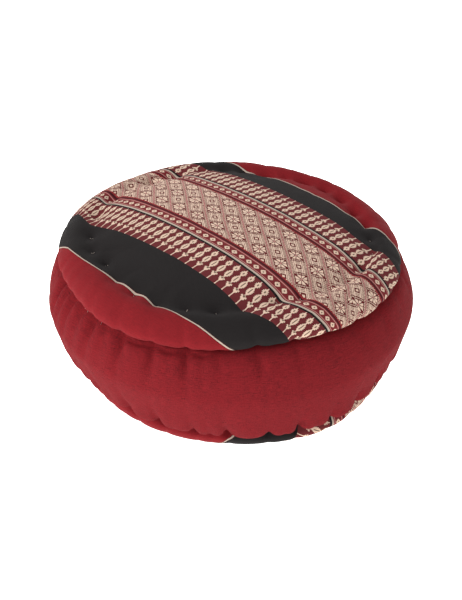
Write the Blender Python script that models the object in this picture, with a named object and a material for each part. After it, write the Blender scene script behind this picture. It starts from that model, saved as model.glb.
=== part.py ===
"""Round floor cushion: a filled body in a gathered side band, with a sewn top and bottom panel.

Metres, +Z up. The origin is at the middle of the resting face. +X is the cushion's right and
-Y its front. Bearings are in degrees, anticlockwise from +X.
"""
import math
import random
from collections import namedtuple

import bmesh
import bpy
from mathutils import Vector

MM = 0.001

# Driving dimensions
HEIGHT = 171 * MM          # crown above the floor
RING_RADIUS = 148 * MM     # ring of tufts around the crowned middle
SEAM_RADIUS = 178 * MM     # both seams
SIDE_RADIUS = 201 * MM     # side band at its fullest
CLOTH = 1.5 * MM           # thickness of a panel
GAP = 0.3 * MM             # clearance between two pieces
SEAM_ROOM = 0.6 * MM       # how much further a panel's seat is cut back at its seam
STEPS = 4                  # points from one fold to the next
OVAL = 0.015               # how much the sewn outline is drawn out of round
OVAL_BEARING = -80         # the long way of that oval
LEAN = (0.065, 0.070)      # how far the foot lies from under the top, for each metre of height
CENTRE = (-0.00565, -0.00617)  # moves the whole plan over the origin
TUFT_DEPTH = 5.5           # millimetres that a tuft draws the cloth in
TOP_GATHER = 4.2           # the same for a pucker of the top seam
BOTTOM_GATHER = 5.5        # and of the bottom seam
LOBE = 0.25                # part of a fold's depth by which the filling stands out beside it
UNEVEN_SEED = 7
UNEVEN = 0.3               # part by which the pull of one fold differs from another

# One row of points around the cushion, in millimetres: its radius and height, how deep the
# tufts and the gathers draw it in, and along which line of the folds it runs
# (0 at the tufts, 1 at the top seam, 2 at the bottom seam).
Row = namedtuple("Row", "name radius height tuft gather along")

TOP_ROWS = [
    Row("dome", 66, 169.5, 0.0, 0.0, 0.0),
    Row("dome edge", 106, 165.2, 0.4, 0.0, 0.0),
    Row("shoulder", 131, 160.8, 2.4, 0.0, 0.0),
    Row("tuft ring", RING_RADIUS / MM, 158.0, TUFT_DEPTH, 0.0, 0.0),
    Row("roll crest", 161, 156.8, 2.4, 0.5, 0.3),
    Row("roll shoulder", 173.5, 149.5, 1.2, 1.2, 0.6),
    Row("roll side", 182.5, 141.0, 0.5, 2.0, 0.8),
    Row("lip", 183, 135.0, 0.0, 3.0, 0.95),
    Row("top seam", SEAM_RADIUS / MM, 130.5, 0.0, TOP_GATHER, 1.0),
]
BAND_ROWS = [
    Row("top seam", SEAM_RADIUS / MM, 130.5, 0.0, TOP_GATHER, 1.0),
    Row("band top", 188.5, 122.5, 0.0, 3.4, 1.05),
    Row("band upper", 197, 106.5, 0.0, 1.8, 1.25),
    Row("band middle", SIDE_RADIUS / MM, 83.0, 0.0, 1.0, 1.5),
    Row("band lower", 197, 56.5, 0.0, 1.8, 1.75),
    Row("band foot", 189, 34.5, 0.0, 4.0, 1.95),
    Row("bottom seam", SEAM_RADIUS / MM, 25.0, 0.0, BOTTOM_GATHER, 2.0),
]
BOTTOM_ROWS = [
    Row("bottom seam", SEAM_RADIUS / MM, 25.0, 0.0, BOTTOM_GATHER, 2.0),
    Row("under side", 181, 15.0, 0.0, 3.0, 2.0),
    Row("under roll", 175, 4.5, 0.0, 1.2, 2.0),
    Row("resting face", 165, 0.0, 0.0, 0.0, 2.0),
]

# Each fold starts at a tuft and runs out through a pucker of both seams: the tuft's bearing and
# its radius in millimetres, and the bearings of the puckers.
Fold = namedtuple("Fold", "tuft radius top bottom")

FOLDS = [
    Fold(-176.1, 144.5, -173.0, -174.0),
    Fold(-163.8, 145.3, -162.0, -162.5),
    Fold(-153.3, 139.0, -150.5, -150.0),
    Fold(-139.0, 146.1, -136.5, -138.5),
    Fold(-127.7, 148.0, -123.5, -126.7),
    Fold(-117.1, 152.0, -112.6, -115.2),
    Fold(-104.4, 150.0, -102.1, -102.8),
    Fold(-93.7, 149.2, -92.4, -91.6),
    Fold(-83.5, 147.9, -81.0, -79.5),
    Fold(-69.6, 142.0, -69.4, -70.5),
    Fold(-60.5, 147.0, -58.0, -59.5),
    Fold(-47.9, 149.0, -47.0, -48.5),
    Fold(-38.5, 152.0, -35.5, -37.5),
    Fold(-28.0, 153.5, -24.5, -25.5),
    Fold(-15.3, 156.0, -12.5, -14.0),
    Fold(-5.6, 152.0, -2.0, -2.5),
    Fold(5.8, 151.0, 9.0, 9.5),
    Fold(17.0, 147.0, 20.5, 21.0),
    Fold(29.0, 147.0, 32.0, 33.0),
    Fold(40.5, 147.5, 43.5, 44.0),
    Fold(51.5, 145.0, 55.0, 56.0),
    Fold(61.5, 142.0, 66.0, 67.5),
    Fold(70.8, 138.5, 76.0, 78.5),
    Fold(81.9, 139.5, 87.5, 89.0),
    Fold(91.5, 142.0, 98.5, 100.5),
    Fold(101.5, 144.3, 108.0, 111.5),
    Fold(115.8, 141.0, 120.5, 123.0),
    Fold(127.5, 144.0, 132.0, 134.5),
    Fold(138.5, 147.0, 144.0, 146.5),
    Fold(150.5, 147.4, 156.0, 158.5),
    Fold(166.0, 146.0, 170.0, 172.0),
]


def uneven_pulls():
    """How hard each fold is drawn in, about 1 each."""
    draw = random.Random(UNEVEN_SEED)
    return [draw.uniform(1 - UNEVEN, 1 + UNEVEN) for _ in FOLDS]


PULLS = uneven_pulls()


def fold_bearing(fold, along):
    """Bearing of a fold's line: 0 is its tuft, 1 the top seam and 2 the bottom seam."""
    if along < 1:
        return fold.tuft + (fold.top - fold.tuft) * along
    return fold.top + (fold.bottom - fold.top) * (along - 1)


def fold_profile(share):
    """Depth between two folds: 1 in each fold, 0 midway, round like a lobe of filling."""
    edge = 1 - abs(2 * share - 1)
    return 1 - math.sqrt(1 - (1 - edge) ** 2)


def placed(radius, height, bearing):
    """A point of the cushion, with its oval outline and its lean."""
    angle = math.radians(bearing)
    reach = max(0.0, (radius - RING_RADIUS) / (SIDE_RADIUS - RING_RADIUS))
    stretch = 1 + OVAL * reach * math.cos(2 * (angle - math.radians(OVAL_BEARING)))
    drop = HEIGHT - height
    x = radius * stretch * math.cos(angle) + LEAN[0] * drop + CENTRE[0]
    y = radius * stretch * math.sin(angle) + LEAN[1] * drop + CENTRE[1]
    return Vector((x, y, height))


def ring_points(row, normal, inset=0.0):
    """The points of one row, drawn in at each fold and then moved inwards by the inset."""
    points = []
    for index, fold in enumerate(FOLDS):
        following = FOLDS[(index + 1) % len(FOLDS)]
        turn = 360 if index + 1 == len(FOLDS) else 0
        start = fold_bearing(fold, row.along)
        end = fold_bearing(following, row.along) + turn
        pulls = (PULLS[index], PULLS[(index + 1) % len(FOLDS)])
        for step in range(STEPS):
            share = step / STEPS
            pull = pulls[0] if share < 0.5 else pulls[1]
            depth = (row.tuft + row.gather) * MM
            draw = depth * (LOBE - fold_profile(share) * pull)
            tuft_shift = fold.radius + (following.radius - fold.radius) * share - RING_RADIUS / MM
            follow = row.tuft / TUFT_DEPTH * tuft_shift * MM
            move = draw - inset
            radius = row.radius * MM + follow + normal[0] * move
            height = row.height * MM + normal[1] * move
            points.append(placed(radius, height, start + (end - start) * share))
    return points


def row_normals(rows, first, last):
    """Outward direction of each row across its neighbours, given for the first and the last."""
    normals = []
    for before, after in zip(rows, rows[2:]):
        run = Vector((after.radius - before.radius, after.height - before.height)).normalized()
        normals.append((-run.y, run.x))
    return [first] + normals + [last]


OUTWARDS = (1.0, 0.0)
UPWARDS = (0.0, 1.0)
DOWNWARDS = (0.0, -1.0)

TOP_NORMALS = row_normals(TOP_ROWS, UPWARDS, OUTWARDS)
BAND_NORMALS = row_normals(BAND_ROWS, OUTWARDS, OUTWARDS)
BOTTOM_NORMALS = row_normals(BOTTOM_ROWS, OUTWARDS, DOWNWARDS)


def rings_of(rows, normals, inset=0.0):
    return [ring_points(row, normal, inset) for row, normal in zip(rows, normals)]


def lowered(ring, drop):
    return [point - Vector((0, 0, drop)) for point in ring]


def loops_of(mesh, rings):
    return [[mesh.verts.new(point) for point in ring] for ring in rings]


def bridge(mesh, loops):
    """Two triangles between each pair of columns. Every skin is split the same way round, so
    that skins that lie on each other stay parallel."""
    for upper, lower in zip(loops, loops[1:]):
        for index in range(len(upper)):
            following = (index + 1) % len(upper)
            mesh.faces.new((upper[index], lower[index], lower[following]))
            mesh.faces.new((upper[index], lower[following], upper[following]))


def close_with_fan(mesh, loop, height):
    tip = mesh.verts.new(placed(0, height, 0))
    for index in range(len(loop)):
        mesh.faces.new((tip, loop[index], loop[(index + 1) % len(loop)]))


def close_flat(mesh, loop):
    mesh.faces.new(loop)


def finished_piece(mesh, name, material):
    bmesh.ops.recalc_face_normals(mesh, faces=mesh.faces)
    data = bpy.data.meshes.new(name)
    mesh.to_mesh(data)
    mesh.free()
    data.materials.append(material)
    data.shade_smooth()
    piece = bpy.data.objects.new(name, data)
    bpy.context.scene.collection.objects.link(piece)
    return piece


def cloth_material(name, colour, roughness):
    material = bpy.data.materials.new(name)
    material.use_nodes = True
    shader = material.node_tree.nodes["Principled BSDF"]
    shader.inputs["Base Color"].default_value = (*colour, 1)
    shader.inputs["Roughness"].default_value = roughness
    shader.inputs["Metallic"].default_value = 0
    material.diffuse_color = (*colour, 1)
    return material


def filled_body(material):
    """The filled cushion: its wall is the side band, and both panels lie in its shallow seats."""
    seat = CLOTH + GAP
    seam_seat = seat + SEAM_ROOM
    top_seat = rings_of(TOP_ROWS, TOP_NORMALS, seat)
    top_seat[-1] = lowered(ring_points(TOP_ROWS[-1], OUTWARDS, seam_seat), GAP)
    band = rings_of(BAND_ROWS, BAND_NORMALS)
    band[0] = lowered(band[0], GAP)
    band[-1] = lowered(band[-1], -GAP)
    bottom_seat = rings_of(BOTTOM_ROWS, BOTTOM_NORMALS, seat)
    bottom_seat[0] = lowered(ring_points(BOTTOM_ROWS[0], OUTWARDS, seam_seat), -GAP)
    mesh = bmesh.new()
    loops = loops_of(mesh, top_seat + band + bottom_seat)
    bridge(mesh, loops)
    close_with_fan(mesh, loops[0], HEIGHT - seat)
    close_flat(mesh, loops[-1])
    return finished_piece(mesh, "filled_body", material)


def top_panel(material):
    """The cloth over the crown and the rim roll, down to the top seam."""
    mesh = bmesh.new()
    outside = loops_of(mesh, rings_of(TOP_ROWS, TOP_NORMALS))
    inside = loops_of(mesh, rings_of(TOP_ROWS, TOP_NORMALS, CLOTH))
    bridge(mesh, outside)
    bridge(mesh, inside)
    bridge(mesh, [outside[-1], inside[-1]])
    close_with_fan(mesh, outside[0], HEIGHT)
    close_with_fan(mesh, inside[0], HEIGHT - CLOTH)
    return finished_piece(mesh, "top_panel", material)


def bottom_panel(material):
    """The cloth that the cushion rests on: flat underneath, rolled up to the bottom seam."""
    mesh = bmesh.new()
    outside = loops_of(mesh, rings_of(BOTTOM_ROWS, BOTTOM_NORMALS))
    inside = loops_of(mesh, rings_of(BOTTOM_ROWS, BOTTOM_NORMALS, CLOTH))
    bridge(mesh, outside)
    bridge(mesh, inside)
    bridge(mesh, [outside[0], inside[0]])
    close_flat(mesh, outside[-1])
    close_flat(mesh, inside[-1])
    return finished_piece(mesh, "bottom_panel", material)


def main():
    for item in list(bpy.data.objects):
        bpy.data.objects.remove(item)
    red = cloth_material("red_cloth", (0.30, 0.03, 0.04), 0.85)
    brocade = cloth_material("brocade_cloth", (0.22, 0.10, 0.09), 0.8)
    filled_body(red)
    top_panel(brocade)
    bottom_panel(brocade)


main()
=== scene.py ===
import math
import random

import bpy
import numpy as np
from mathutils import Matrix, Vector, noise


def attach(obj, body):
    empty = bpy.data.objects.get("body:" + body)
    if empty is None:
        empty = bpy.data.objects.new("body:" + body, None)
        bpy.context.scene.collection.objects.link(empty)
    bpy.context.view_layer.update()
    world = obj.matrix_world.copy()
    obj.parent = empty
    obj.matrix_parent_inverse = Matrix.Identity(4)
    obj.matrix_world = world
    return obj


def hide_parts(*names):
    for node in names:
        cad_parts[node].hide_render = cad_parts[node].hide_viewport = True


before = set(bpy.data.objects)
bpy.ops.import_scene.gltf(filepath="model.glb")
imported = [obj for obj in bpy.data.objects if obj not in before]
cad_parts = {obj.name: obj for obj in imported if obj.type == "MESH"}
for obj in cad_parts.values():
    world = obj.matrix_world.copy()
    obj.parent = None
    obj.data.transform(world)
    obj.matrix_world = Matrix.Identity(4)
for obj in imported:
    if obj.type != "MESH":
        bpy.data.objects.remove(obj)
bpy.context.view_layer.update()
mm = 0.001

camera = {
    "lens": 62.35,  # millimetres, on a sensor of this height
    "sensor": 36.0,
    "place": (0.00035, -0.9562, 0.7166),
    "target": (0.00035, -0.00617, 0.0686),
}


def linked(name, data):
    made = bpy.data.objects.new(name, data)
    bpy.context.scene.collection.objects.link(made)
    return made


def aimed(name, data, place, target):
    made = linked(name, data)
    made.location = place
    made.rotation_euler = (Vector(target) - Vector(place)).to_track_quat("-Z", "Y").to_euler()
    return made


def addCamera(setup):
    data = bpy.data.cameras.new("photoCamera")
    data.sensor_fit = "VERTICAL"
    data.sensor_height = setup["sensor"]
    data.lens = setup["lens"]
    data.clip_start = 0.01
    bpy.context.scene.camera = aimed("photoCamera", data, setup["place"], setup["target"])


addCamera(camera)

# The whole form, in millimetres and degrees, as the solids have it.
form = {
    "height": 171.0,
    "ringRadius": 148.0,  # ring of tufts
    "sideRadius": 201.0,  # the band at its fullest
    "oval": 0.015,
    "ovalBearing": -80.0,
    "lean": (0.065, 0.070),  # how far the foot lies aside, per millimetre of height
    "centre": (-5.65, -6.17),
    "swellStep": 15,  # degrees between the values of swell, and their easing
    "swellEase": 6,
    "lipHeights": (100, 130, 142, 157),  # the lip's lift grows and fades between these
    "channelDepth": 2.6,  # the hollow that joins the tufts, and half its width
    "channelWidth": 10.0,
    "dimpleDepth": 8.0,  # what a tuft adds to it, how far its pull reaches across the ring,
    "dimpleReach": 5.8,  # and how many times further along it
    "dimpleAlong": 1.5,
    "hardBearing": 120.0,  # the two tufts beside this bearing pull harder
    "hardWithin": 9.0,
    "hardPull": 1.6,
    "lobe": 0.25,  # how far filling stands out beside a fold
    "unevenSeed": 7,
    "uneven": 0.35,
    "slackBearing": -25.0,  # where the band is gathered least
    "bandMean": 1.1,  # its gathers in the mean, and what they change by
    "bandSwing": 1.15,
    "bandRange": (0.28, 1.7),
    "runLoss": 0.65,  # what its folds lose there on their way down
    "run": (1.08, 0.15),  # from this line of folds on, over so much of one
    "footRun": (1.5, 0.4),  # where the foot's own gathers take over
    "halfFold": 0.4,  # the most that a small fold between two others takes of their depth,
    "halfRare": 0.6,  # what its draw has to pass, and its half width and sharpness
    "halfWidth": 0.26,
    "halfSharp": 1.5,
    "closeFold": 0.85,  # what it takes at this bearing, where the band is gathered closely
    "closeBearing": -156.0,
    "closeSpread": 14.0,
    "roll": 2.6,  # a rolled edge of the band under the top seam: the crease below it,
    "rollPlace": 7.0,  # how far down that is, and the bearings between which it shows
    "rollWidth": 2.2,
    "rollFrom": -128.0,
    "rollTo": -92.0,
    "rollFade": 6.0,
    "spareCloth": 1.2,  # cloth per length past the tufts, where it is eased into the seam
    "allowanceIn": (3, 7),  # the rows of a seam allowance: how far inwards and down
    "allowanceDown": (0.3, 1.4),
    "bandShort": 0.2,  # how far the band's edges stay off the seams' own lines
    "columns": 8,  # coarse columns from one fold to the next
    "perSpan": 16,  # points of the smooth profile for each row of its table
    "normalTurn": 7.0,
    "lump": 0.9,  # how far lumps of filling lift the cloth, and where that fades at a seam
    "lumpSize": 38.0,
    "lumpFade": 25.0,
}

# how far the outline stands out from the round: a height, then values at even bearings from -180
noSwell = (0,) * 24
swell = [
    (0, *noSwell),
    (12, 0, 0, -4, -5, -3, -2, -1, 3, 6, -2, -4, -4, -2, 0, 0, 0, 0, 0, 0, 0, 0, 0, 0, 0),
    (45, 1, 1, -3, -5, -4.5, -2, 0, 0, 0, -5.5, -6.5, -4, -1, -1, -1, -1, 0, 0, 0, 0, 0, 0, 0, 0),
    (85, *noSwell),
    (112, -3, -3, -1, 0, 0, 0, 0, 0, 0, 0, 0, 0, -1.5, -4.5, -4, -3, -3, -2, 0, 0, 0, 0, -1, -2),
    (138, -2.3, -2, -5.5, 0, 1, 0, -2, -4.5, -2.5, 1.5, 3, 3.3, 1, 0.5, -3, -5, -5, -3.5, -1, 0, 0,
     0, 1.5, 0),
    (157, *noSwell),
]
# how far the lip of the top is lifted, at the same bearings
lipLift = (0, 0, 0, 0, 0, 0, 1.3, 3, 1.6, 0, 0, 0, 0, -0.5, -2.5, -4.5, -4.5, -2.5, -0.5, 0, 0, 0, 0, 0)

# radius, height, how closely the row follows the uneven ring of tufts, depth of the gathers, and
# the line of folds that it runs along: 0 at the tufts, 1 at the top seam, 2 at the bottom seam
topSeam = (177, 130.5, 0, 4.2, 1)
footSeam = (173.5, 25, 0, 9.5, 2)
topRows = [
    (0, 172.2, 0, 0, 0),
    (33, 171.1, 0, 0, 0),
    (66, 168.1, 0, 0, 0),
    (106, 162.9, 0.1, 0, 0),
    (131, 159.7, 0.5, 0, 0),
    (148, 157.6, 1, 0, 0),
    (161, 157.2, 0.5, 0.4, 0.3),
    (173.5, 150.5, 0.2, 0.9, 0.6),
    (182.5, 141.5, 0, 1.6, 0.8),
    (183.5, 135, 0, 2.6, 0.95),
    topSeam,
]
bandRows = [
    topSeam,
    (187, 123.5, 0, 8.6, 1.05),
    (193, 114, 0, 7.2, 1.12),
    (198, 101, 0, 4.3, 1.3),
    (201, 83, 0, 1.5, 1.5),
    (197.5, 57, 0, 2.8, 1.75),
    (193, 38.5, 0, 7.5, 1.92),
    (187.5, 28.5, 0, 11, 1.97),
    footSeam,
]
bottomRows = [
    footSeam,
    (181, 15, 0, 3.5, 2),
    (175, 4.5, 0, 1.2, 2),
    (165, 0, 0, 0, 2),
    (150, 0, 0, 0, 2),
    (0, 0, 0, 0, 2),
]

# bearing and radius of each tuft, the bearings of its puckers in the two seams, and how hard
# the top seam gathers there
folds = [
    (-177.8, 144.3, -173, -174, 0.4), (-165.5, 144.1, -162, -162.5, 1),
    (-154.9, 137.1, -150.5, -150, 0.6), (-140.3, 143.3, -136.5, -138.5, 0.9),
    (-128.8, 144.5, -123.5, -125, 1), (-117.9, 148.1, -112.6, -114, 0.9),
    (-104.8, 145.7, -102.1, -102.3, 1.1), (-93.8, 144.8, -92.4, -92.3, 0.4),
    (-83.3, 143.5, -81, -79.5, 1), (-69, 137.9, -69.4, -70.5, 1), (-59.6, 143.2, -58, -59.5, 0.5),
    (-46.7, 145.8, -47, -48.5, 1), (-37.2, 149.3, -35.5, -37.5, 0.9), (-26.5, 151.5, -24.5, -25.5, 0.6),
    (-13.7, 154.9, -12.5, -14, 1.1), (-3.9, 151.6, -2, -2.5, 1), (7.5, 151.5, 9, 9.5, 0.8),
    (18.6, 148.3, 20.5, 21, 0.9), (30.5, 149.2, 32, 33, 0.7), (41.8, 150.4, 43.5, 44, 1),
    (52.6, 148.5, 55, 56, 0.8), (62.3, 145.9, 66, 67.5, 0.6), (71.4, 142.7, 76, 78.5, 1),
    (82.1, 143.9, 87.5, 89, 0.7), (91.5, 146.4, 98.5, 100.5, 1), (101.2, 148.6, 108, 111.5, 0.8),
    (115, 145, 120.5, 123, 0.6), (126.5, 147.5, 132, 134.5, 1), (137.2, 150, 144, 146.5, 0.9),
    (149, 149.6, 156, 158.5, 0.7), (164.3, 147.1, 170, 172, 0.8),
]
tuftBearings, tuftRadii, topFolds, footFolds, seamPulls = np.array(folds).T
lobeCount = len(folds)
columnCount = lobeCount * form["columns"]


def unevenPulls(spread, seed):
    draw = random.Random(seed)
    return np.array([draw.uniform(1 - spread, 1 + spread) for _ in folds])


def slack(bearing):
    # 1 where the band is gathered least, -1 on the opposite side
    return np.cos(np.radians(bearing - form["slackBearing"]))


def rise(value, start, over):
    # from 0 at the start to 1 that far past it; a negative length falls to 0 at the start
    return np.clip((value - start) / over, 0, 1)


def summed(steps):
    return np.concatenate([[0], np.cumsum(steps)])


def unit(rows):
    return rows / np.linalg.norm(rows, axis=1)[:, None]


def polar(reach, angle, *level):
    # a row of points round the centre, in metres
    return np.stack([reach * np.cos(angle), reach * np.sin(angle), *level], 1) * mm


pulls = unevenPulls(form["uneven"], form["unevenSeed"])
nearHard = np.abs(tuftBearings - form["hardBearing"]) < form["hardWithin"]
tuftPulls = pulls * np.where(nearHard, form["hardPull"], 1)
gathered = form["bandMean"] - form["bandSwing"] * slack(topFolds)
bandPulls = seamPulls * np.clip(gathered, *form["bandRange"])
halfPulls = np.clip(unevenPulls(1.0, form["unevenSeed"] + 2) - form["halfRare"], 0, 1) * form["halfFold"]
offClose = (topFolds - form["closeBearing"]) / form["closeSpread"]
halfPulls = np.maximum(halfPulls, form["closeFold"] * np.exp(-offClose ** 2))


def smoothCurve(rows):
    # a smooth curve through the rows of a table, level at the crown
    table = np.array(rows, float)
    place = summed(np.linalg.norm(np.diff(table[:, :2], axis=0), axis=1) ** 0.5)
    slopes = np.zeros_like(table)
    for i in range(len(table)):
        before, after = max(i - 1, 0), min(i + 1, len(table) - 1)
        slopes[i] = (table[after] - table[before]) / (place[after] - place[before])
    points = []
    for i in range(len(table) - 1):
        span = place[i + 1] - place[i]
        for k in range(form["perSpan"]):
            s = k / form["perSpan"]
            points.append(
                (2 * s**3 - 3 * s**2 + 1) * table[i] + (s**3 - 2 * s**2 + s) * span * slopes[i]
                + (3 * s**2 - 2 * s**3) * table[i + 1] + (s**3 - s**2) * span * slopes[i + 1])
    points.append(table[-1])
    return np.array(points)


def fineRows(rows, steps, ends, keep=None):
    # rows at even steps along the smooth curve, with outward normal and cloth length as more columns
    curve = smoothCurve(rows)
    length = summed(np.linalg.norm(np.diff(curve[:, :2], axis=0), axis=1))
    reach = summed(np.diff(length) / np.interp(curve[1:, 0], *steps))
    count = int(round(reach[-1]))
    wanted = np.interp(np.linspace(0, reach[-1], count + 1), reach, length)
    if keep is not None:  # one row lies exactly at this row of the table
        exact = length[keep * form["perSpan"]]
        wanted[np.abs(wanted - exact).argmin()] = exact
    tangent = np.gradient(curve[:, :2], length, axis=0)
    normal = unit(np.stack([-tangent[:, 1], tangent[:, 0]], 1))
    for end, side in zip(ends, (0, -1)):
        if end is not None:  # the normal turns to the end's own one over the last millimetres
            near = np.clip(1 - np.abs(length - length[side]) / form["normalTurn"], 0, 1)[:, None]
            normal = normal * (1 - near) + np.array(end) * near
    columns = (*curve.T, *unit(normal).T, length)
    return np.stack([np.interp(wanted, length, column) for column in columns], 1)


def aroundTable(values, bearing):
    # a table's value at any bearing, with its corners eased
    steps = np.arange(-180, 180, form["swellStep"])
    ease = form["swellEase"]
    return sum(np.interp(bearing + turn, steps, values, period=360) for turn in (-ease, 0, ease)) / 3


def placed(radius, height, bearing):
    heights = [row[0] for row in swell]
    outward = sum(np.interp(height, heights, nearness) * aroundTable(row[1:], bearing)
                  for row, nearness in zip(swell, np.eye(len(swell))))
    lift = np.interp(height, form["lipHeights"], (0, 1, 1, 0)) * aroundTable(lipLift, bearing)
    angle = np.radians(bearing)
    outer = np.clip((radius - form["ringRadius"]) / (form["sideRadius"] - form["ringRadius"]), 0, None)
    stretch = 1 + form["oval"] * outer * np.cos(2 * (angle - math.radians(form["ovalBearing"])))
    drop = form["height"] - height
    reach = radius * stretch + outward
    x = reach * np.cos(angle) + form["lean"][0] * drop + form["centre"][0]
    y = reach * np.sin(angle) + form["lean"][1] * drop + form["centre"][1]
    return np.stack([x, y, height + lift], -1) * mm


def foldBearings(along):
    # bearing of every column of a row, and its share of the way from its fold to the next
    if along < 1:
        here = tuftBearings + (topFolds - tuftBearings) * along
    else:
        here = topFolds + (footFolds - topFolds) * (along - 1)
    after = np.append(here[1:], here[0] + 360)
    share = np.arange(form["columns"]) / form["columns"]
    return (here[:, None] + (after - here)[:, None] * share).ravel(), np.tile(share, lobeCount)


def columnValues(share, values):
    # a value for each column, from one for each fold
    here = np.repeat(values, form["columns"])
    after = np.repeat(np.roll(values, -1), form["columns"])
    return here * (1 - share) + after * share


def lumps(points):
    # uneven filling, the same on each run
    size = form["lumpSize"] * mm
    return np.array([noise.noise(Vector(point) / size) for point in points]) * form["lump"]


def tuftHollow(radius, bearing):
    # how deep the ring of tufts draws the cloth in: a soft channel, and a dimple at each tuft
    ring = np.interp(bearing, tuftBearings, tuftRadii, period=360)
    channel = form["channelDepth"] * np.exp(-((radius - ring) / form["channelWidth"]) ** 2)
    turn = np.angle(np.exp(1j * (np.radians(bearing)[:, None] - np.radians(tuftBearings))))
    off = np.hypot(turn * form["ringRadius"] / form["dimpleAlong"], radius[:, None] - tuftRadii)
    return channel + form["dimpleDepth"] * (tuftPulls * np.exp(-off / form["dimpleReach"])).max(axis=1)


def ringOffset(follow, share):
    # how far a row's points lie outside its plain circle, as it follows the uneven ring of tufts
    return follow * (columnValues(share, tuftRadii) - form["ringRadius"])


def rolledEdge(length, bearing, edge):
    # the crease that sets off the band's rolled edge at the front left, in an arc from fold to fold
    fade = form["rollFade"]
    shown = rise(bearing, form["rollFrom"], fade) * rise(bearing, form["rollTo"], -fade)
    place = form["rollPlace"] * (0.35 + 0.65 * np.sqrt(edge))
    off = (length - place) / form["rollWidth"]
    return form["roll"] * shown * np.minimum(1, edge * 3) * np.exp(-off ** 2)


def formRing(row, lumpy, zone):
    radius, height, follow, gather, along, normalOut, normalUp, length = row
    bearing, share = foldBearings(along)
    offRing = ringOffset(follow, share)
    edge = 1 - np.abs(2 * share - 1)  # 0 on a fold, 1 half way to the next
    sharp = 1 - np.sqrt(1 - (1 - edge) ** 2)
    small = np.clip(1 - np.abs(share - 0.5) / form["halfWidth"], 0, 1) ** form["halfSharp"]
    small = small * np.repeat(halfPulls, form["columns"])
    strengths = columnValues(share, seamPulls if zone == "top" else pulls)
    sunk = 0
    if zone == "top":
        sunk = tuftHollow(radius + offRing, foldBearings(0)[0])
    if zone == "band":  # the folds run further down at the left, until the foot's own take over
        left = 0.5 - 0.5 * slack(bearing)
        run = 1 - (1 - left) * form["runLoss"] * rise(along, *form["run"])
        low = rise(along, *form["footRun"])
        strengths = columnValues(share, bandPulls) * run * (1 - low) + strengths * low
        sunk = rolledEdge(length, bearing, edge)
    draw = gather * (form["lobe"] - (sharp + small) * strengths) - sunk
    draw = draw + lumpy * lumps(placed(radius, height, bearing))
    return placed(radius + offRing + normalOut * draw, height + normalUp * draw, bearing), bearing


# how far apart the coarse rows lie, by their radius
rimSteps = ((0, 112, 128, 500), (6.0, 6.0, 3.2, 3.2))
bandSteps = ((0, 184, 192, 500), (2.2, 2.4, 3.6, 3.6))
bottomSteps = ((0, 150, 168, 500), (16, 16, 3.0, 3.0))
outwards = (1.0, 0.0)
tuftsAt = [row[0] for row in topRows].index(form["ringRadius"])
topFine = fineRows(topRows, rimSteps, (None, outwards), tuftsAt)
bandFine = fineRows(bandRows, bandSteps, (outwards, outwards))
bottomFine = fineRows(bottomRows, bottomSteps, (outwards, None))
clothRadius, wallHeight, bottomRadius = topFine[-1, -1], bandFine[-1, -1], bottomFine[-1, -1]
print("panel cut to", round(clothRadius), "and", round(bottomRadius), "mm radius, band", round(wallHeight))


def stackRows():
    # one closed grid from the crown to the middle of the foot: its points, its bearings,
    # and where every point lay in the cut cloth, which is a plain tin
    rings, bearings, cut, zones = [], [], [], []
    cutBearing, share = foldBearings(0)
    for zone, table in (("top", topFine[1:]), ("band", bandFine[1:]), ("bottom", bottomFine[1:-1])):
        for row in table:
            length = row[-1]
            toSeam, flat, level = {
                "top": (clothRadius - length, length + ringOffset(row[2], share), 0.0),
                "band": (min(length, wallHeight - length), clothRadius, -length),
                "bottom": (0.0, (bottomRadius - length) * (clothRadius / bottomRadius), -wallHeight),
            }[zone]
            points, bearing = formRing(row, min(1.0, max(0.0, toSeam / form["lumpFade"])), zone)
            rings.append(points)
            # the cloth of the top turns with its folds from the tufts to the seam
            bearings.append(cutBearing if zone == "top" else bearing)
            cut.append(polar(flat, np.radians(cutBearing), np.full(columnCount, level)))
            zones.append(zone)
    return np.array(rings), np.array(bearings), np.array(cut), zones


rings, bearings, cut, zones = stackRows()
seamRow = zones.index("band") - 1  # the last row of the top panel
footRow = zones.index("bottom") - 1  # the last row of the band
ringRow = int(np.abs(topFine[1:, 0] - form["ringRadius"]).argmin())
crown, foot = placed(0.0, topRows[0][1], 0.0), placed(0.0, 0.0, 0.0)
print("grid of", rings.shape[0], "rows and", rings.shape[1], "columns")


def gridFaces(rowCount, columns, crownTip=False, footTip=False):
    # quads down the rows, faces outwards, with a fan to the point that follows the grid at a tip
    sides = [(a, (a + 1) % columns) for a in range(columns)]
    tip = rowCount * columns
    faces = [(tip, a, b) for a, b in sides] if crownTip else []
    for upper in range(0, tip - columns, columns):
        lower = upper + columns
        faces += [(upper + a, lower + a, lower + b, upper + b) for a, b in sides]
    if footTip:
        last, tip = tip - columns, tip + int(crownTip)
        faces += [(last + a, tip, last + b) for a, b in sides]
    return faces


def meshObject(name, points, faces, material=None):
    data = bpy.data.meshes.new(name)
    data.from_pydata([tuple(point) for point in points], [], faces)
    if material:
        data.materials.append(material)
    data.shade_smooth()
    return linked(name, data)


def vertexPoints(mesh):
    points = np.empty(len(mesh.vertices) * 3)
    mesh.vertices.foreach_get("co", points)
    return points.reshape(-1, 3)


def clothMap(mesh, places, around=0.0):
    # the piece's UV map holds the cloth's own coordinates in metres
    corners = np.zeros(len(mesh.loops), int)
    mesh.loops.foreach_get("vertex_index", corners)
    values = places[corners]
    if around:  # on the last column of a strip, its far side comes a full turn later
        quads = values.reshape(-1, 4, 2)
        late = np.ptp(quads[:, :, 0], axis=1) > around / 2
        quads[:, :, 0] += late[:, None] * (quads[:, :, 0] < around / 2) * around
    mesh.uv_layers.new(name="cloth").data.foreach_set("uv", values.ravel())


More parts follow.
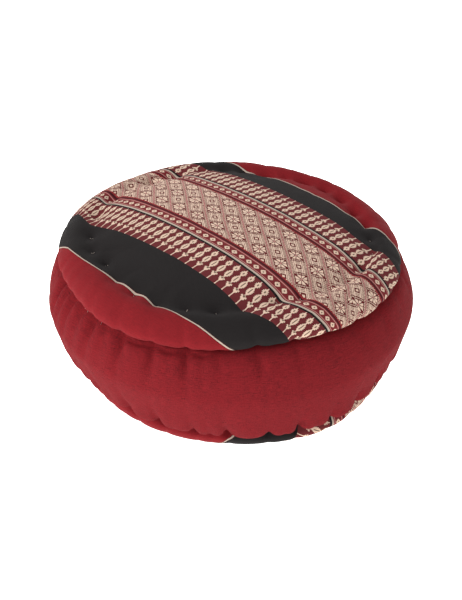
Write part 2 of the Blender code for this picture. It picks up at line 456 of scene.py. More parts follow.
def tucked(ring, inwards, down):
    # a ring of points moved in towards the cushion's middle and down, in millimetres
    away = ring - ring.mean(axis=0)
    away[:, 2] = 0
    return ring - unit(away) * inwards * mm - np.array([0, 0, down]) * mm


def allowance(ring, side):
    # the rows of a seam allowance from top to bottom: below the seam with side 1, above it with -1
    rows = zip(form["allowanceIn"], form["allowanceDown"])
    return [tucked(ring, inwards, side * down) for inwards, down in rows][::side]


def mathNode(operation, swapped=False):
    # a method of a wire that feeds it and its terms to a Math node
    def method(wire, *terms):
        terms = (*terms, wire) if swapped else (wire, *terms)
        return wire.add("ShaderNodeMath", dict(enumerate(terms)), operation=operation)
    return method


class Wire:
    # a socket of a node tree: arithmetic on it adds Math nodes
    def __init__(self, tree, socket=None):
        self.tree = tree
        self.socket = socket

    def add(self, kind, sockets=None, out=0, **settings):
        node = self.tree.nodes.new(kind)
        for name, setting in settings.items():
            setattr(node, name, setting)
        for name, value in (sockets or {}).items():
            self.feed(node.inputs[name], value)
        return Wire(self.tree, node.outputs[out] if node.outputs else None)

    def feed(self, socket, value):
        if isinstance(value, Wire):
            self.tree.links.new(value.socket, socket)
        else:
            socket.default_value = value

    def other(self, name):
        return Wire(self.tree, self.socket.node.outputs[name])

    __add__ = __radd__ = mathNode("ADD")
    __sub__ = mathNode("SUBTRACT")
    __rsub__ = mathNode("SUBTRACT", swapped=True)
    __mul__ = __rmul__ = mathNode("MULTIPLY")
    __truediv__ = mathNode("DIVIDE")
    __abs__ = mathNode("ABSOLUTE")
    __lt__ = mathNode("LESS_THAN")
    __gt__ = mathNode("GREATER_THAN")
    least = mathNode("MINIMUM")
    most = mathNode("MAXIMUM")
    part = mathNode("FRACT")
    down = mathNode("FLOOR")
    wave = mathNode("SINE")

    def clamped(self, low=0):
        return self.most(low).least(1)

    def between(self, low, high):
        return (self > low) * (self < high)

    def stepped(self, size):
        # the middle of the thread that this place falls in
        return ((self / size).down() + 0.5) * size

    def spot(self, other, wide, tall):
        # 1 inside an oval of these half widths round the place where both coordinates are 0
        a, b = self / wide, other / tall
        return a * a + b * b < 1

    def mix(self, without, colour):
        # the first colour where this mask is 0, the second where it is 1
        return self.add("ShaderNodeMix", {0: self, 6: without, 7: colour}, out=2, data_type="RGBA")

    def ramp(self, stops):
        # the colour of the last stop before this place
        made = self.add("ShaderNodeValToRGB", {0: self})
        ramp = made.socket.node.color_ramp
        ramp.interpolation = "CONSTANT"
        while len(ramp.elements) < len(stops):
            ramp.elements.new(1.0)
        for element, (place, colour) in zip(ramp.elements, stops):
            element.position = place
            element.color = colour
        return made

    def split(self):
        return self.add("ShaderNodeSeparateXYZ", {0: self})

    def grain(self, scale, detail=2.0, roughness=0.5):
        return self.add("ShaderNodeTexNoise", {
            "Vector": self, "Scale": scale, "Detail": detail, "Roughness": roughness})

    def stretched(self, scale, turn=0.0):
        return self.add("ShaderNodeMapping", {"Vector": self, "Rotation": (0, 0, turn), "Scale": scale})


def shade(code):
    # a colour as a painter reads it off, in the renderer's own terms
    channels = [int(code[i:i + 2], 16) / 255 for i in (0, 2, 4)]
    return tuple(c / 12.92 if c <= 0.04045 else ((c + 0.055) / 1.055) ** 2.4 for c in channels) + (1,)


def setInputs(node, values):
    for name, value in values.items():
        node.inputs[name].default_value = value


def shaded(name, values):
    material = bpy.data.materials.new(name)
    material.use_nodes = True
    shader = material.node_tree.nodes["Principled BSDF"]
    setInputs(shader, values)
    return material, shader


def newCloth(name, sheen, tint):
    material, shader = shaded(name, {
        "Sheen Weight": sheen, "Sheen Roughness": 0.45, "Sheen Tint": tint, "Specular IOR Level": 0.05})
    return material, shader, Wire(material.node_tree)


redWeave = {
    "lit": "851F24",  # the red yarn as lit: painted light
    "deep": "701A1F",  # the same yarn in painted shade, laid in patches
    "fibre": "431418",  # the dark yarn across it
    "thread": 0.55,  # millimetres from one thread to the next
    "depth": 0.25,
    "slubLength": 8.0,
    "patchScale": 26.0,  # for the noise of light and dark places: painted light and painted shade on the red yarn
    "roughScale": 900.0,
    "contrast": 0.95,
    "roughness": 0.92,
}


def redClothColour(metres, settings, dark):
    # two yarns of one cloth: a bright red one, and a darker one that shows through it unevenly
    threads = 1000 / settings["thread"]
    slub = 1000 / settings["slubLength"]
    along = metres.stretched((slub, threads / 2, 1)).grain(1.0)
    across = metres.stretched((threads / 2, slub, 1)).grain(1.0)
    fleck = metres.grain(threads / 2.6, 3, 0.75)
    patch = metres.grain(settings["patchScale"], 3, 0.6)
    weft = (along * 0.8 + across * 0.3 + fleck * 1.2 - 1.15) * 1.7 + (patch - 0.5) * 0.8
    cover = weft.add("ShaderNodeClamp", {"Value": (weft + 0.3) * dark})
    # the red yarn is its lit copy and its shaded copy mixed in patches: painted light and painted shade
    yarn = ((patch - 0.5) * 1.6 + 0.55).mix(shade(settings["deep"]), shade(settings["lit"]))
    return cover.mix(yarn, shade(settings["fibre"]))


def weaveHeight(metres, pitch):
    # over and under of a plain weave
    place = metres.split()
    turns = math.pi * 1000 / pitch
    return (place * turns).wave() * (place.other("Y") * turns).wave()


def finishCloth(shader, colour, height, depth, roughness):
    # depth is in millimetres
    bump = height.add("ShaderNodeBump", {"Strength": 1.0, "Distance": depth * mm, "Height": height})
    for name, value in (("Base Color", colour), ("Normal", bump), ("Roughness", roughness)):
        height.feed(shader.inputs[name], value)


def makeRedCloth(settings):
    material, shader, wire = newCloth("bandCotton", 0.0, (1, 0.5, 0.5, 1))
    metres = wire.add("ShaderNodeUVMap", uv_map="cloth")
    colour = redClothColour(metres, settings, settings["contrast"])
    height = weaveHeight(metres, settings["thread"]) * 0.6 + metres.grain(settings["roughScale"]) * 0.8
    finishCloth(shader, colour, height, settings["depth"], settings["roughness"])
    return material


panelWeave = {
    "stripeBearing": -46.5,  # the way that the stripes run, seen from above
    "middle": 4.0,  # the pattern's middle line, towards the back right of the ring's centre
    "bend": 1.2,  # how far the stripes wander, in a wave of this length
    "bendLength": 240.0,
    "bendStart": 40.0,
    "wander": 0.6,  # and unevenly
    "wanderScale": 40.0,
    "bowMiddle": 22.0,  # how they bow outwards to both sides of this place, for each millimetre
    "bowNear": 0.0000068,  # from the middle line and square millimetre along them
    "bowFar": 0.000003,
    "bowWithin": 178.0,  # so far from the centre it has faded to a small rest
    "bowFade": 30.0,
    "bowLeast": 0.1,
    "drawnIn": 2.0,  # how far the near stripes lie inwards: that grows by this share of the
    "drawnRise": 0.04,  # way from the middle line, and fades before the end
    "drawnEnd": 150.0,
    "drawnFade": 55.0,
    "drawnBack": 0.6,  # the share of it that the brocade's own figures don't follow
    "squeezeFrom": -10.0,  # how the near figures close up and move on along the stripes
    "squeeze": 0.0000053,
    "moveOn": 0.0000014,
    "skew": 0.065,  # how far the brocade is out of square, and what it gains along the stripes
    "gainFrom": 17.0,
    "gain": 0.0115,
    "turnBelow": 3.0,  # degrees that the bottom panel was turned when it was sewn in
    "thread": 0.85,
    "fineThread": 0.5,
    "depth": 0.3,
    "pitches": (10.2, 10.0),  # in the near and the far border: from one figure to the next,
    "offsets": (-1.0, 7.0),  # where they start, and one row of a figure
    "rows": (0.92, 0.82),
    "brocadeHalf": 31.8,
    "borderHalf": 53.0,
    "toothPitch": 2.6,
    "toothDepth": 2.2,
    "blackNear": -145.3,
    "blackFar": 118.0,
    "line": 0.8,  # half the width of the line between black and red, and its dark edge
    "lineEdge": 0.5,
    "cellAlong": 15.27,  # half a cell of the brocade along the stripes, and across them
    "cellAcross": 10.7,
    "flowerAt": (5.4, 2.4),
    "ringAt": 42.6,  # the row of small diamonds in the border, their half width and height,
    "ringSize": (3.8, 3.3),  # the share of that which is their dark middle,
    "ringEye": 0.32,  # and how far they are out of step with the figures
    "ringShift": 1.2,
    # blackLit and creamLit are lighter copies of black and cream: painted highlights
    "yarns": {
        "cream": "D6BCA6", "creamLit": "DDC4AE", "rose": "B27A74", "maroon": "55292B",
        "deepRed": "6C282B", "brightRed": "852A2E", "black": "1D1B1B", "blackLit": "282525",
        "grey": "AE9F91", "night": "3D1A1D", "olive": "6B5B4B",
    },
}

# half width of the border figure in threads, and half width of the gap in its middle, row by row
# from the border outwards
figureChart = [
    (0.5, 0), (0.7, 0), (1.3, 0), (3, 0), (2.5, 0), (3.9, 0.7), (3.3, 1), (3.9, 0.7), (2.4, 0), (2.6, 0),
    (1.1, 0), (0.7, 0), (1.4, 0), (2, 0), (3.1, 0.6), (2.7, 0.7), (4, 0.7), (3.5, 0.7), (4.1, 0.7),
    (3.5, 0.7), (4, 0.7), (2.8, 0.7), (2.8, 0), (1.8, 0), (1, 0), (0.7, 0), (1.4, 0.5), (3.9, 1.8),
    (4.1, 0.9), (2.6, 0), (3, 0), (2, 0), (1, 0), (0.7, 0), (0.7, 0), (0.7, 0), (0.7, 0), (0.7, 0),
    (0.7, 0), (0.9, 0),
]

# lines of the border from the brocade outwards: millimetres from the middle line, and the yarn
borderLines = [
    (31.8, "brightRed"), (33.6, "night"), (35.8, "deepRed"), (37.0, "rose"), (38.0, "deepRed"),
    (46.7, "rose"), (47.4, "deepRed"), (48.5, "grey"), (50.6, "black"),
]


def figureStops(rows):
    # part of the chart as stops of a ramp: red holds the figure's half width, green its gap, in fifths
    return [(index / len(rows), (half / 5, gap / 5, 0, 1)) for index, (half, gap) in enumerate(rows)]


def flowerAndNest(along, across, weave):
    # the brocade's lifted threads: slanting lanes, each with flowers and stepped nests in turn;
    # gives the cream ones, and the rose ones
    a = (along - weave["flowerAt"][0]) / (2 * weave["cellAlong"])
    b = (across - weave["flowerAt"][1]) / (2 * weave["cellAcross"])
    u, v = a + b, a - b
    cellU, cellV = (u + 0.5).down(), (v + 0.5).down()
    offU, offV = u - cellU, v - cellV
    lane, step = abs(offU) * 2, abs(offV) * 2  # from 0 in a cell's middle to 1 on its edges
    x = abs(offU + offV) * weave["cellAlong"]
    y = abs(offU - offV) * weave["cellAcross"]
    nest = ((cellU + cellV) * 0.5).part() > 0.25

    # eight petals that fill their cell, slit and notched between them
    spread = lane.most(step)
    gap = x.least(y).least(abs(x * 0.88 - y) * 0.8)
    notch = (gap < 0.9) * (1 - x.spot(y, 6.0, 4.9))
    petals = x.spot(y, 9.2, 6.9) * (spread < 0.66) * (gap > 0.4) * (1 - notch)
    dots = step.between(0.80, 0.94) * ((u * 11).part() < 0.6)
    flower = petals.most(dots * (lane < 0.7))

    # strokes along the lane beside a dark diamond, with steps towards the flowers
    strokes = lane.between(0.27, 0.41).most(lane.between(0.47, 0.60)).most(lane.between(0.66, 0.72))
    steps = step.between(0.37, 0.50).most(step.between(0.58, 0.69)).most(step.between(0.77, 0.87))
    nestCream = (strokes * (spread > 0.31) * (step < 0.95)).most(steps * (lane < 0.27)).most(spread < 0.15)

    # ladders between the lanes, with a rose line in their middle
    rungs = lane.between(0.77, 0.91) * ((v * 9.7).part() < 0.56)
    inLane = lane < 0.72
    cream = rungs.most(inLane * (nest * nestCream + (1 - nest) * flower))
    rose = (lane > 0.935).most((1 - nest) * x.spot(y, 1.2, 1.1))
    return cream * (1 - rose), rose


def patternPlace(turned, wander, weave):
    # a point's plain place along the stripes, its places across and along them as they lie,
    # its side, and how far it is drawn in
    place = turned.split()
    bend = ((place - weave["bendStart"]) * (2 * math.pi / weave["bendLength"])).wave() * weave["bend"]
    across = place.other("Y") - weave["middle"] - bend + wander * weave["wander"]
    far = across > 0
    fromCentre = turned.add("ShaderNodeVectorMath", {0: turned}, out=1, operation="LENGTH")
    bowing = ((weave["bowWithin"] - fromCentre) / weave["bowFade"]).clamped(weave["bowLeast"])
    fromBow = place - weave["bowMiddle"]
    sway = across.most(0) * weave["bowFar"] - across.least(0) * weave["bowNear"]
    bow = fromBow * fromBow * bowing * sway
    drawnIn = (across * -weave["drawnRise"]).clamped() * weave["drawnIn"]
    drawnIn = drawnIn * ((across + weave["drawnEnd"]) / weave["drawnFade"]).clamped()
    across = across + bow - drawnIn
    squeezed = place - weave["squeezeFrom"]
    along = place + far * bend + squeezed * squeezed * across.least(0) * weave["squeeze"]
    along = along + place * place * place * (1 - far) * weave["moveOn"]
    return place, across, along, far, drawnIn


def makePanelCloth(weave):
    material, shader, wire = newCloth("panelBrocade", 0.02, (0.95, 0.9, 0.88, 1))
    yarn = {name: shade(code) for name, code in weave["yarns"].items()}
    metres = wire.add("ShaderNodeUVMap", uv_map="cloth")
    turned = metres.stretched((1000, 1000, 1), -math.radians(weave["stripeBearing"]))
    fleck = metres.grain(1500.0)
    wander = metres.grain(weave["wanderScale"], 1) - 0.5
    place, across, along, far, drawnIn = patternPlace(turned, wander, weave)
    away = abs(across)
    thread, fine = weave["thread"], weave["fineThread"]
    pitch = weave["pitches"][0]

    def sided(near, distant):
        return far * (distant - near) + near

    figureS = (along - sided(*weave["offsets"])) / sided(*weave["pitches"])
    fromMiddle = abs((figureS + 0.5).part() - 0.5) * pitch

    # the plain ground: red outside, black inside, a pale line between them
    stripeMetres = turned.add("ShaderNodeVectorMath", {0: turned, "Scale": mm}, operation="SCALE")
    colour = redClothColour(stripeMetres, redWeave, 0.5)
    inBlack = across.between(weave["blackNear"], weave["blackFar"])
    # the black is flecked with its lighter copy: painted highlight
    colour = inBlack.mix(colour, fleck.mix(yarn["black"], yarn["blackLit"]))
    toLine = abs(across - weave["blackNear"]).least(abs(across - weave["blackFar"]))
    colour = (toLine < weave["line"] + weave["lineEdge"]).mix(colour, yarn["night"])
    colour = (toLine < weave["line"]).mix(colour, yarn["grey"])

    # the band of border figures on maroon
    half = len(figureChart) // 2  # a ramp holds 32 stops at most, so the chart takes two
    chart = (away - weave["borderHalf"]) / (sided(*weave["rows"]) * half)
    inner = chart.ramp(figureStops(figureChart[:half]))
    outer = (chart - 1).ramp(figureStops(figureChart[half:]))
    figure = (chart > 1).mix(inner, outer)
    halves = figure.add("ShaderNodeSeparateColor", {0: figure})
    inFigure = fromMiddle < halves * (5 * thread)
    inGap = fromMiddle < halves.other("Green") * (5 * thread)
    ground = (fleck * 1.6 - 0.3).mix(yarn["maroon"], yarn["deepRed"])
    band = inGap.mix(inFigure.mix(ground, yarn["cream"]), yarn["olive"])
    inBand = chart < 2
    colour = inBand.mix(colour, band)

    # the border's lines and its row of small diamonds
    start, width = weave["brocadeHalf"], weave["borderHalf"] - weave["brocadeHalf"]
    lines = ((away - start) / width).ramp([((at - start) / width, yarn[name]) for at, name in borderLines])
    up = abs(away - weave["ringAt"]).stepped(fine)
    ringS = figureS + sided(-1, 1) * (weave["ringShift"] / pitch)
    aside = (abs((ringS + 0.5).part() - 0.5) * pitch).stepped(fine)
    ringOut = aside / weave["ringSize"][0] + up / weave["ringSize"][1]
    border = (ringOut < 1).mix(lines, yarn["cream"])
    border = (ringOut < weave["ringEye"]).mix(border, yarn["olive"])
    inBorder = away < weave["borderHalf"]
    colour = inBorder.mix(colour, border)

    # the brocade, whose edge is toothed
    skewed = along - across * weave["skew"] + (place - weave["gainFrom"]) * weave["gain"]
    level = across + drawnIn * weave["drawnBack"]
    cream, rose = flowerAndNest(skewed.stepped(fine), level.stepped(fine), weave)
    # the brocade's lifted cream threads take the lighter copy of the cream: painted highlight
    brocade = cream.mix(rose.mix(ground, yarn["rose"]), yarn["creamLit"])
    tooth = abs((along / weave["toothPitch"]).part() - 0.5) * weave["toothDepth"]
    inBrocade = away < weave["brocadeHalf"] - 0.5 + tooth
    colour = inBrocade.mix(colour, brocade)

    # lifted threads stand out and shine more, with a little rose in the weave's gaps
    inFigure = inFigure * (1 - inGap)
    raised = (inFigure * inBand * (1 - inBorder)).most(ringOut.between(weave["ringEye"], 1) * inBorder)
    raised = (raised * (1 - inBrocade)).most(cream * inBrocade)
    threads = weaveHeight(stripeMetres, thread)
    colour = (raised * (threads < -0.1) * 0.14).mix(colour, yarn["rose"])
    height = threads * 0.35 + raised + fleck * 0.4
    finishCloth(shader, colour, height, weave["depth"], 0.92 - raised * 0.24)
    return material


def halvedColumns(grid, turn=0.0):
    # one subdivision around the cushion; turn is what a coordinate gains on each time round
    before, after = np.roll(grid, 1, axis=1), np.roll(grid, -1, axis=1)
    before[:, 0, 0] -= turn
    after[:, -1, 0] += turn
    fine = np.repeat(grid, 2, axis=1)
    fine[:, 0::2] = 0.75 * grid + 0.125 * (before + after)
    fine[:, 1::2] = 0.5 * (grid + after)
    return fine


def halvedRows(grid):
    # one subdivision down the rows, which keeps the first and the last
    fine = np.repeat(grid, 2, axis=0)[:-1]
    fine[2:-1:2] = 0.75 * grid[1:-1] + 0.125 * (grid[:-2] + grid[2:])
    fine[1::2] = 0.5 * (grid[:-1] + grid[1:])
    return fine


def clothPiece(name, rows, coordinates, material, crownTip=None, footTip=None, around=0.0):
    # a piece from its coarse rows and their places in the cloth, subdivided once
    grid = halvedRows(halvedColumns(np.array(rows)))
    flat = halvedRows(halvedColumns(np.array(coordinates), around))
    points, places = grid.reshape(-1, 3), flat.reshape(-1, 2)
    for tip in (crownTip, footTip):
        if tip is not None:
            points, places = np.vstack([points, tip]), np.vstack([places, (0, 0)])
    faces = gridFaces(*grid.shape[:2], crownTip is not None, footTip is not None)
    piece = meshObject(name, points, faces, material)
    clothMap(piece.data, places, around)
    return piece


def buildTop(shape, material):
    rows = [*shape[:seamRow + 1], *allowance(shape[seamRow], 1)]
    reach = topFine[1:, -1]
    ringReach = reach[ringRow]
    reach = np.where(reach > ringReach, ringReach + (reach - ringReach) * form["spareCloth"], reach)
    share = foldBearings(0)[1]
    flat = [polar(length + ringOffset(row[2], share), angle)
            for length, row, angle in zip(reach, topFine[1:], np.radians(bearings))]
    flat += [flat[-1] * (1 + extra / reach[-1]) for extra in form["allowanceIn"]]
    return clothPiece("brocadeTop", rows, flat, material, crownTip=crown)


def buildBand(shape, material):
    # the allowances of two cloths cross behind their seam, which closes it
    upper, lower, short = shape[seamRow], shape[footRow], form["bandShort"]
    rows = [*allowance(upper, -1), tucked(upper, 0, short), *shape[seamRow + 1:footRow],
            tucked(lower, 0, -short), *allowance(lower, 1)]
    extra = np.array([0, *form["allowanceIn"]])
    length = np.concatenate([-extra[::-1], bandFine[1:-1, -1], wallHeight + extra])
    around = 2 * math.pi * form["sideRadius"]
    turn = np.arange(columnCount) / columnCount * around
    flat = [np.stack([turn, np.full(columnCount, -drop)], 1) * mm for drop in length]
    return clothPiece("sideBand", rows, flat, material, around=around * mm)


def buildBottom(shape, material):
    rows = [*allowance(shape[footRow], -1), *shape[footRow:]]
    angles = np.radians(bearings[footRow:]) - math.radians(panelWeave["turnBelow"])
    reach = bottomRadius - bottomFine[:-1, -1]
    flat = [polar(*pair) for pair in zip(reach, angles)]
    flat = [flat[0] * (1 + extra / reach[0]) for extra in form["allowanceIn"][::-1]] + flat
    return clothPiece("brocadeBottom", rows, flat, material, footTip=foot)


settling = {
    "frames": 12,
    "mostMove": 3.0,  # millimetres that a point may move
    "crownHeld": 20.0,  # radius that stays as it is, and the height below which the foot does
    "footHeld": 0.5,
    "rules": {
        "uniform_pressure_force": 1.0,
        "quality": 6,
        "mass": 0.2,
        "tension_stiffness": 20.0,
        "compression_stiffness": 14.0,
        "shear_stiffness": 8.0,
        "bending_stiffness": 0.6,
    },
}


def settle(settings):
    # the cloths settle on their filling: held at the seams, the tufts and where they rest,
    # each as long as it was cut
    count, columns = rings.shape[:2]
    points = np.vstack([rings.reshape(-1, 3), crown, foot])
    flat = np.vstack([cut.reshape(-1, 3), (0, 0, 0), (0, 0, -wallHeight * mm)])
    sewn = meshObject("settlingCloth", points, gridFaces(count, columns, True, True))
    sewn.shape_key_add(name="Basis")
    sewn.shape_key_add(name="cut").data.foreach_set("co", flat.ravel())
    held = points[:, 2] < settings["footHeld"] * mm
    held |= np.hypot(*flat[:, :2].T) < settings["crownHeld"] * mm
    for row, step in ((seamRow, 1), (footRow, 1), (ringRow, form["columns"])):
        held[row * columns:(row + 1) * columns:step] = True
    sewn.vertex_groups.new(name="held").add(np.flatnonzero(held).tolist(), 1.0, "REPLACE")
    cloth = sewn.modifiers.new("settle", "CLOTH")
    rules = cloth.settings
    rules.rest_shape_key = sewn.data.shape_keys.key_blocks["cut"]
    rules.vertex_group_mass = "held"
    rules.use_pressure = True
    for name, value in settings["rules"].items():
        setattr(rules, name, value)
    rules.effector_weights.gravity = 0
    cloth.collision_settings.use_collision = False
    cloth.point_cache.frame_end = settings["frames"]
    for step in range(1, settings["frames"] + 1):
        bpy.context.scene.frame_set(step)
    after = sewn.evaluated_get(bpy.context.evaluated_depsgraph_get()).to_mesh()
    shift = vertexPoints(after) - points
    far = np.linalg.norm(shift, axis=1)
    print("cloth settled, moved", round(far.mean() / mm, 2), "mm on average and", round(far.max() / mm, 2),
          "at most")
    shift *= np.minimum(1, settings["mostMove"] * mm / np.maximum(far, 1e-9))[:, None]
    settled = points + shift
    bpy.data.objects.remove(sewn)
    bpy.context.scene.frame_set(1)
    return settled[:-2].reshape(count, columns, 3), settled[-2], settled[-1]


sewing = {
    "tuft": (1.7, 0.4, 0.5),  # millimetres: a stitch, its thread's radius, and how far it is lifted
    "seam": (2.6, 0.3, 0.25),
    "bow": 0.7,  # where a stitch's handles lie, and how far its ends go down
    "endsDown": 1.4,
    "sizes": (0.75, 1.25),
    "single": 0.6,  # the share of tufts with one stitch; two lie this far from the middle
    "apart": 1.3,
    "raised": 0.3,
    "tilt": 0.12,
    "turns": (0.6, 0.9),
    "seamPitch": 4.2,  # from one seam stitch to the next
    "seamOut": 0.5,
    "seed": 5,
    "tuftYarn": "A89C92",
    "seamYarn": "7A2A2E",
    "twistScale": 900.0,
    "fuzzScale": 2500.0,
    # bearing, length and droop of each loose end at the top seam
    "ends": [(-141.4, 3.6, 0.7), (-143.0, 2.6, 0.2), (-133.6, 2.2, 0.5), (-18.5, 2.8, 0.6)],
    "endRadius": 0.28,
    "endOut": (1.5, 2.6),  # how far out it starts, and goes
}


def threadMaterial(name, code):
    material, shader, wire = newCloth(name, 0.05, (1, 1, 1, 1))
    place = wire.add("ShaderNodeTexCoord").other("Object")
    twist = wire.add("ShaderNodeTexWave", {"Vector": place, "Scale": sewing["twistScale"], "Distortion": 1.5},
                     out=1, wave_type="BANDS", bands_direction="DIAGONAL")
    # a darker copy of the thread's own colour, in bands along its twist: painted shade
    dark = tuple(c * 0.62 for c in shade(code)[:3]) + (1,)
    height = twist + place.grain(sewing["fuzzScale"]) * 0.5
    finishCloth(shader, twist.mix(shade(code), dark), height, 0.15, 0.8)
    return material


def stitchTree(settings):
    # a bowed stitch of round thread laid at every point, along its own tangent
    tree = bpy.data.node_groups.new("layStitches", "GeometryNodeTree")
    tree.interface.new_socket("Geometry", in_out="OUTPUT", socket_type="NodeSocketGeometry")
    for name, kind in (("Geometry", "Geometry"), ("Stitch Length", "Float"), ("Thread Radius", "Float"),
                       ("Lift", "Float"), ("Seed", "Int"), ("Thread", "Material")):
        tree.interface.new_socket(name, in_out="INPUT", socket_type="NodeSocket" + kind)
    wire = Wire(tree)
    entry = wire.add("NodeGroupInput")
    half, lift = entry.other("Stitch Length") * 0.5, entry.other("Lift")

    def pointAt(x, z):
        return wire.add("ShaderNodeCombineXYZ", {"X": half * x, "Z": lift * z})

    bow, low = settings["bow"], -settings["endsDown"]
    path = wire.add("GeometryNodeCurvePrimitiveBezierSegment", {
        "Resolution": 5, "Start": pointAt(-1, low), "Start Handle": pointAt(-bow, 1),
        "End Handle": pointAt(bow, 1), "End": pointAt(1, low)}, mode="POSITION")
    circle = wire.add("GeometryNodeCurvePrimitiveCircle", {
        "Resolution": 6, "Radius": entry.other("Thread Radius")})
    stitch = wire.add("GeometryNodeCurveToMesh", {"Curve": path, "Profile Curve": circle, "Fill Caps": True})
    facing, lay = (wire.add("GeometryNodeInputNamedAttribute", {"Name": name}, data_type="FLOAT_VECTOR")
                   for name in ("facing", "lay"))
    turn = wire.add("FunctionNodeAxesToRotation", {"Primary Axis": facing, "Secondary Axis": lay},
                    primary_axis="Z", secondary_axis="X")
    least, most = settings["sizes"]
    size = wire.add("FunctionNodeRandomValue", {2: least, 3: most, "Seed": entry.other("Seed")},
                    out=1, data_type="FLOAT")
    laid = wire.add("GeometryNodeInstanceOnPoints", {
        "Points": entry.other("Geometry"), "Instance": stitch, "Rotation": turn, "Scale": size})
    real = wire.add("GeometryNodeRealizeInstances", {"Geometry": laid})
    dressed = wire.add("GeometryNodeSetMaterial", {"Geometry": real, "Material": entry.other("Thread")})
    wire.add("NodeGroupOutput", {"Geometry": dressed})
    return tree


def laidStitches(name, spots, facings, lays, tree, sizes, material):
    # the tree's stitches at these spots, as a plain mesh of their own
    carrier = meshObject(name + "Points", spots, [])
    for label, vectors in (("facing", facings), ("lay", lays)):
        layer = carrier.data.attributes.new(label, "FLOAT_VECTOR", "POINT")
        layer.data.foreach_set("vector", np.array(vectors).ravel())
    length, radius, lift = sizes
    values = {"Stitch Length": length * mm, "Thread Radius": radius * mm, "Lift": lift * mm,
              "Seed": sewing["seed"], "Thread": material}
    modifier = carrier.modifiers.new("sew", "NODES")
    modifier.node_group = tree
    for item in tree.interface.items_tree:
        if item.in_out == "INPUT" and item.name in values:
            modifier[item.identifier] = values[item.name]
    evaluated = carrier.evaluated_get(bpy.context.evaluated_depsgraph_get())
    mesh = bpy.data.meshes.new_from_object(evaluated)
    mesh.name = name
    carrier.modifiers.remove(modifier)
    bpy.data.objects.remove(carrier)
    print(name, len(mesh.polygons), "faces")
    return linked(name, mesh)


def rowPoints(piece, row):
    # a coarse row's points in a built piece, which has twice as many rows and columns
    columns = 2 * columnCount
    return vertexPoints(piece.data)[2 * row * columns:(2 * row + 1) * columns]


def sewTufts(top, tree, settings, material):
    # a short stitch in the bottom of each dimple, some of them doubled
    draw = random.Random(settings["seed"])
    turn, slant = settings["turns"]
    spots, facings, lays = [], [], []
    for point in rowPoints(top, ringRow)[::2 * form["columns"]]:
        away = Vector((point[0], point[1], 0)).normalized()
        side = Vector((-away.y, away.x, 0))
        facing = (Vector((0, 0, 1)) + away * settings["tilt"]).normalized()
        for place in ([0] if draw.random() < settings["single"] else [-1.0, 1.0]):
            along = side * math.cos(place + draw.uniform(-turn, turn))
            lay = along + away * math.sin(draw.uniform(-slant, slant))
            off = away * place * settings["apart"] + facing * settings["raised"]
            spots.append(Vector(point) + off * mm)
            facings.append(facing)
            lays.append(lay.normalized())
    return laidStitches("tuftThreads", spots, facings, lays, tree, settings["tuft"], material)


def sewSeam(name, line, tree, settings, material):
    # running stitches at even steps along a seam
    closed = np.vstack([line, line[:1]])
    length = summed(np.linalg.norm(np.diff(closed, axis=0), axis=1))
    count = int(length[-1] / (settings["seamPitch"] * mm))
    wanted = np.arange(count) / count * length[-1]
    spots = np.stack([np.interp(wanted, length, closed[:, i]) for i in range(3)], 1)
    lays = unit(np.roll(spots, -1, axis=0) - np.roll(spots, 1, axis=0))
    facings = unit(np.stack([lays[:, 1], -lays[:, 0], np.zeros(count)], 1))
    spots = spots + facings * settings["seamOut"] * mm
    return laidStitches(name, spots, facings, lays, tree, settings["seam"], material)


def looseEnds(line, settings, material):
    # thread ends that hang out of the top seam
    angles = np.degrees(np.arctan2(line[:, 1], line[:, 0]))
    start, reach = settings["endOut"]
    spans, sides = 8, 6
    up = np.array([0, 0, 1])
    points, faces = [], []
    for bearing, length, droop in settings["ends"]:
        root = line[np.abs(angles - bearing).argmin()]
        angle = math.radians(bearing)
        away = np.array([math.cos(angle), math.sin(angle), 0])
        side = np.array([-away[1], away[0], 0])
        first = len(points)
        for k in range(spans + 1):
            s = k / spans
            middle = root + (away * (start + reach * s) + side * length * (s - 0.4 * s * s) * 0.8) * mm
            middle = middle - up * (0.5 + length * (0.35 + droop) * s * s) * mm
            for m in range(sides):
                turn = m * 2 * math.pi / sides
                outward = away * math.cos(turn) + up * math.sin(turn)
                points.append(middle + outward * settings["endRadius"] * mm)
        for a in range(first, first + spans * sides, sides):
            faces += [(a + m, a + (m + 1) % sides, a + sides + (m + 1) % sides, a + sides + m)
                      for m in range(sides)]
        last = first + spans * sides
        faces += [tuple(range(first + sides - 1, first - 1, -1)), tuple(range(last, last + sides))]
    return meshObject("looseEnds", points, faces, material)


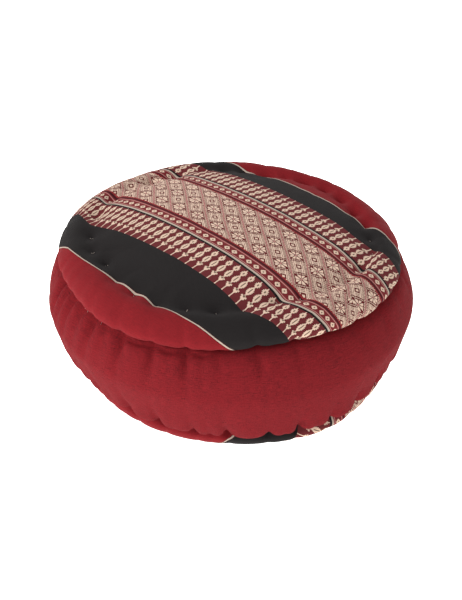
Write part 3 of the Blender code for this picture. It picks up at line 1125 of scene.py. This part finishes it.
redCloth = makeRedCloth(redWeave)
panelCloth = makePanelCloth(panelWeave)
shape = rings
shape, crown, foot = settle(settling)
top = buildTop(shape, panelCloth)
band = buildBand(shape, redCloth)
bottom = buildBottom(shape, panelCloth)
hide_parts("top_panel")
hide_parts("filled_body")
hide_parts("bottom_panel")
for piece, slot in ((top, "brocade_cloth"), (band, "red_cloth"), (bottom, "brocade_cloth")):
    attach(piece, "root")
    print(piece.name, len(piece.data.polygons), "faces")

stitches = stitchTree(sewing)
paleThread = threadMaterial("paleThread", sewing["tuftYarn"])
redThread = threadMaterial("redThread", sewing["seamYarn"])
behind = len(form["allowanceIn"])  # rows of the allowance that come before a seam's own
topLine = (rowPoints(top, seamRow) + rowPoints(band, behind)) / 2
footLine = (rowPoints(bottom, behind) + rowPoints(band, behind + footRow - seamRow)) / 2
threads = [
    sewTufts(top, stitches, sewing, paleThread),
    sewSeam("topSeamThread", topLine, stitches, sewing, redThread),
    sewSeam("footSeamThread", footLine, stitches, sewing, redThread),
    looseEnds(topLine, sewing, paleThread),
]
for piece in threads:
    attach(piece, "root")

paper = shade("F2F1EF")
studio = {
    "floorSize": 40.0,
    "floor": {"Base Color": paper, "Roughness": 0.9, "Emission Color": paper, "Emission Strength": 1.7},
    "sky": {"Color": shade("FFFFFF"), "Strength": 0.7},
    # place, aim, size in metres, watts
    "lights": {
        "keyBox": ((-1.5, -0.6, 1.2), (0, 0, 0.08), 1.2, 28),
        "frontBox": ((-0.5, -1.8, 0.35), (0, 0, 0.06), 1.2, 7),
        "backBox": ((0.4, 1.7, 0.9), (0, 0, 0.12), 1.2, 16),
    },
}


def buildStudio(settings):
    half = settings["floorSize"] / 2
    corners = [(-half, -half, 0), (half, -half, 0), (half, half, 0), (-half, half, 0)]
    floor = meshObject("paleFloor", corners, [(0, 1, 2, 3)], shaded("palePaper", settings["floor"])[0])
    for name, (place, aim, size, watts) in settings["lights"].items():
        data = bpy.data.lights.new(name, "AREA")
        data.size = size
        data.energy = watts
        aimed(name, data, place, aim)
    world = bpy.data.worlds.new("studio")
    world.use_nodes = True
    setInputs(world.node_tree.nodes["Background"], settings["sky"])
    bpy.context.scene.world = world
    bpy.context.scene.view_settings.view_transform = "Standard"


buildStudio(studio)
print("studio ready")
